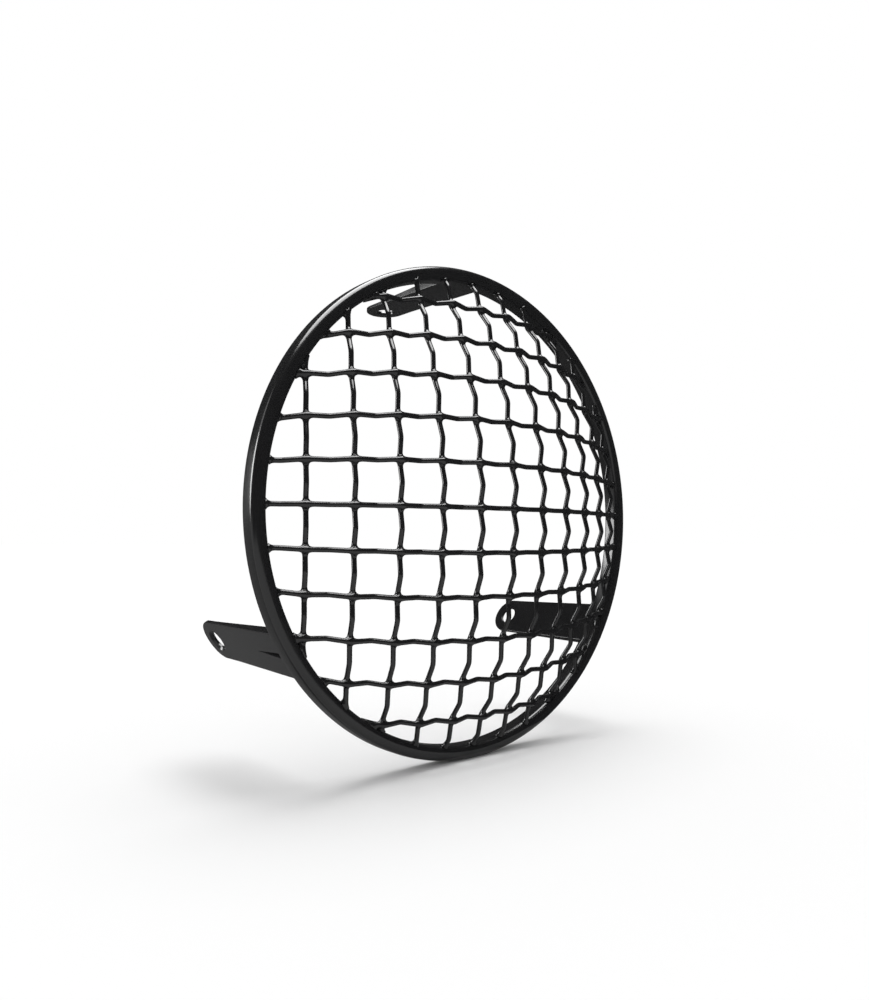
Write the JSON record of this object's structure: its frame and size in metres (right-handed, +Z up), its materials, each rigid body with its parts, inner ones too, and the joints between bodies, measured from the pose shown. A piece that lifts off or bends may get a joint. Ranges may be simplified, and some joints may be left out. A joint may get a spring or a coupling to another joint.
{
  "type": "headlight grille",
  "caption": "Round black headlamp grille: a domed net of crimped wires welded inside a rim ring, with tapered lugs behind it that bolt to the sides of a round lamp.",
  "frame": {"origin": "centre of the rim ring, on its axis, halfway through its depth", "axes": "+Z up towards the top lug, +Y back along the ring's axis towards the lamp, so the net bulges to -Y; +X is to the right seen from the front"},
  "size_m": [0.188, 0.0902, 0.188],
  "materials": {
    "black_powder_coat": "satin black powder coat over steel"
  },
  "bodies": {
    "root": {"rim_ring": "black_powder_coat", "top_lug": "black_powder_coat", "left_lug": "black_powder_coat", "right_lug": "black_powder_coat", "cross_wire_01": "black_powder_coat", "cross_wire_02": "black_powder_coat", "cross_wire_03": "black_powder_coat", "cross_wire_04": "black_powder_coat", "cross_wire_05": "black_powder_coat", "cross_wire_06": "black_powder_coat", "cross_wire_07": "black_powder_coat", "cross_wire_08": "black_powder_coat", "cross_wire_09": "black_powder_coat", "cross_wire_10": "black_powder_coat", "cross_wire_11": "black_powder_coat", "upright_wire_01": "black_powder_coat", "upright_wire_02": "black_powder_coat", "upright_wire_03": "black_powder_coat", "upright_wire_04": "black_powder_coat", "upright_wire_05": "black_powder_coat", "upright_wire_06": "black_powder_coat", "upright_wire_07": "black_powder_coat", "upright_wire_08": "black_powder_coat", "upright_wire_09": "black_powder_coat", "upright_wire_10": "black_powder_coat", "upright_wire_11": "black_powder_coat"}
  },
  "joints": []
}
